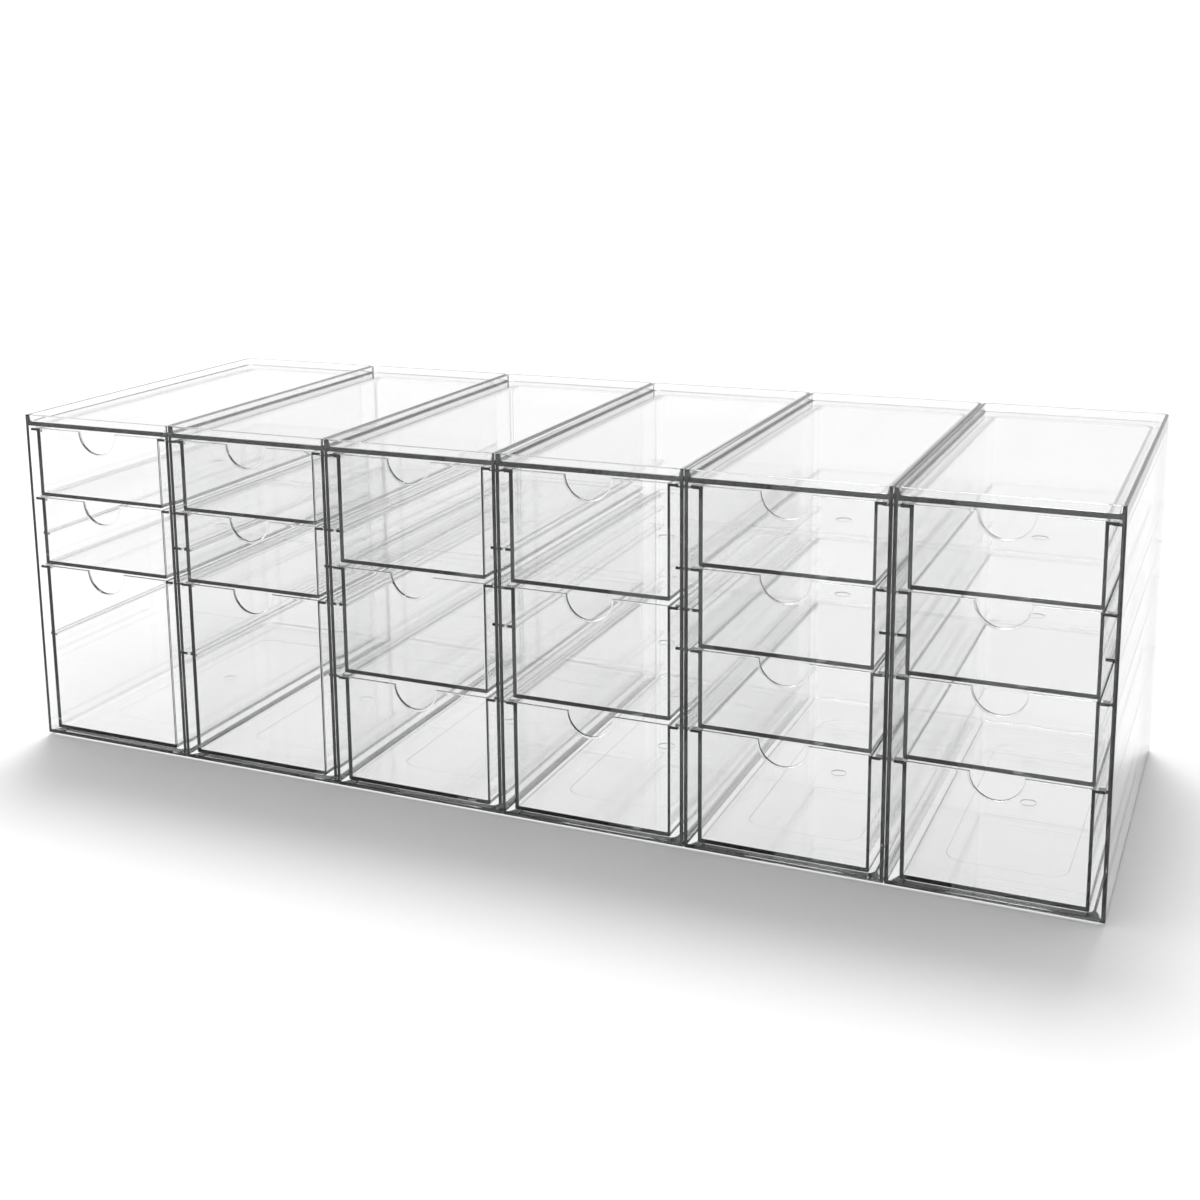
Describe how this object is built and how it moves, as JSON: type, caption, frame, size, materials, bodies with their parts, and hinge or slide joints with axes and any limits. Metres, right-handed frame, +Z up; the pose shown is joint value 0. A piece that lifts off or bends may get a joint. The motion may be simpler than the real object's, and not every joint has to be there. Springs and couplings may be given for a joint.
{
  "type": "drawer organizer",
  "caption": "Row of clear narrow drawer towers with thumb-notched drawers of several heights that slide on side ledges.",
  "frame": {"origin": "centre of the row's footprint, on the surface that the towers stand on", "axes": "+X along the row to the right as seen from the front, -Y towards the open front, +Z up"},
  "size_m": [0.6256, 0.232, 0.2019],
  "materials": {
    "case_clear": "water-clear moulded plastic, polished",
    "drawer_clear": "water-clear moulded plastic, polished"
  },
  "bodies": {
    "cases": {"tower_1_case": "case_clear", "tower_2_case": "case_clear", "tower_3_case": "case_clear", "tower_4_case": "case_clear", "tower_5_case": "case_clear", "tower_6_case": "case_clear"},
    "tower_1_top_drawer": {"tower_1_top_drawer": "drawer_clear"},
    "tower_1_middle_drawer": {"tower_1_middle_drawer": "drawer_clear"},
    "tower_1_bottom_drawer": {"tower_1_bottom_drawer": "drawer_clear"},
    "tower_2_top_drawer": {"tower_2_top_drawer": "drawer_clear"},
    "tower_2_middle_drawer": {"tower_2_middle_drawer": "drawer_clear"},
    "tower_2_bottom_drawer": {"tower_2_bottom_drawer": "drawer_clear"},
    "tower_3_top_drawer": {"tower_3_top_drawer": "drawer_clear"},
    "tower_3_middle_drawer": {"tower_3_middle_drawer": "drawer_clear"},
    "tower_3_bottom_drawer": {"tower_3_bottom_drawer": "drawer_clear"},
    "tower_4_top_drawer": {"tower_4_top_drawer": "drawer_clear"},
    "tower_4_middle_drawer": {"tower_4_middle_drawer": "drawer_clear"},
    "tower_4_bottom_drawer": {"tower_4_bottom_drawer": "drawer_clear"},
    "tower_5_top_drawer": {"tower_5_top_drawer": "drawer_clear"},
    "tower_5_upper_drawer": {"tower_5_upper_drawer": "drawer_clear"},
    "tower_5_lower_drawer": {"tower_5_lower_drawer": "drawer_clear"},
    "tower_5_bottom_drawer": {"tower_5_bottom_drawer": "drawer_clear"},
    "tower_6_top_drawer": {"tower_6_top_drawer": "drawer_clear"},
    "tower_6_upper_drawer": {"tower_6_upper_drawer": "drawer_clear"},
    "tower_6_lower_drawer": {"tower_6_lower_drawer": "drawer_clear"},
    "tower_6_bottom_drawer": {"tower_6_bottom_drawer": "drawer_clear"}
  },
  "joints": [
    {"name": "tower_1_top_drawer_slide", "type": "slide", "parent": "cases", "child": "tower_1_top_drawer", "axis": [0, -1, 0], "range_m": [0, 0.18]},
    {"name": "tower_1_middle_drawer_slide", "type": "slide", "parent": "cases", "child": "tower_1_middle_drawer", "axis": [0, -1, 0], "range_m": [0, 0.18]},
    {"name": "tower_1_bottom_drawer_slide", "type": "slide", "parent": "cases", "child": "tower_1_bottom_drawer", "axis": [0, -1, 0], "range_m": [0, 0.18]},
    {"name": "tower_2_top_drawer_slide", "type": "slide", "parent": "cases", "child": "tower_2_top_drawer", "axis": [0, -1, 0], "range_m": [0, 0.18]},
    {"name": "tower_2_middle_drawer_slide", "type": "slide", "parent": "cases", "child": "tower_2_middle_drawer", "axis": [0, -1, 0], "range_m": [0, 0.18]},
    {"name": "tower_2_bottom_drawer_slide", "type": "slide", "parent": "cases", "child": "tower_2_bottom_drawer", "axis": [0, -1, 0], "range_m": [0, 0.18]},
    {"name": "tower_3_top_drawer_slide", "type": "slide", "parent": "cases", "child": "tower_3_top_drawer", "axis": [0, -1, 0], "range_m": [0, 0.18]},
    {"name": "tower_3_middle_drawer_slide", "type": "slide", "parent": "cases", "child": "tower_3_middle_drawer", "axis": [0, -1, 0], "range_m": [0, 0.18]},
    {"name": "tower_3_bottom_drawer_slide", "type": "slide", "parent": "cases", "child": "tower_3_bottom_drawer", "axis": [0, -1, 0], "range_m": [0, 0.18]},
    {"name": "tower_4_top_drawer_slide", "type": "slide", "parent": "cases", "child": "tower_4_top_drawer", "axis": [0, -1, 0], "range_m": [0, 0.18]},
    {"name": "tower_4_middle_drawer_slide", "type": "slide", "parent": "cases", "child": "tower_4_middle_drawer", "axis": [0, -1, 0], "range_m": [0, 0.18]},
    {"name": "tower_4_bottom_drawer_slide", "type": "slide", "parent": "cases", "child": "tower_4_bottom_drawer", "axis": [0, -1, 0], "range_m": [0, 0.18]},
    {"name": "tower_5_top_drawer_slide", "type": "slide", "parent": "cases", "child": "tower_5_top_drawer", "axis": [0, -1, 0], "range_m": [0, 0.18]},
    {"name": "tower_5_upper_drawer_slide", "type": "slide", "parent": "cases", "child": "tower_5_upper_drawer", "axis": [0, -1, 0], "range_m": [0, 0.18]},
    {"name": "tower_5_lower_drawer_slide", "type": "slide", "parent": "cases", "child": "tower_5_lower_drawer", "axis": [0, -1, 0], "range_m": [0, 0.18]},
    {"name": "tower_5_bottom_drawer_slide", "type": "slide", "parent": "cases", "child": "tower_5_bottom_drawer", "axis": [0, -1, 0], "range_m": [0, 0.18]},
    {"name": "tower_6_top_drawer_slide", "type": "slide", "parent": "cases", "child": "tower_6_top_drawer", "axis": [0, -1, 0], "range_m": [0, 0.18]},
    {"name": "tower_6_upper_drawer_slide", "type": "slide", "parent": "cases", "child": "tower_6_upper_drawer", "axis": [0, -1, 0], "range_m": [0, 0.18]},
    {"name": "tower_6_lower_drawer_slide", "type": "slide", "parent": "cases", "child": "tower_6_lower_drawer", "axis": [0, -1, 0], "range_m": [0, 0.18]},
    {"name": "tower_6_bottom_drawer_slide", "type": "slide", "parent": "cases", "child": "tower_6_bottom_drawer", "axis": [0, -1, 0], "range_m": [0, 0.18]}
  ]
}
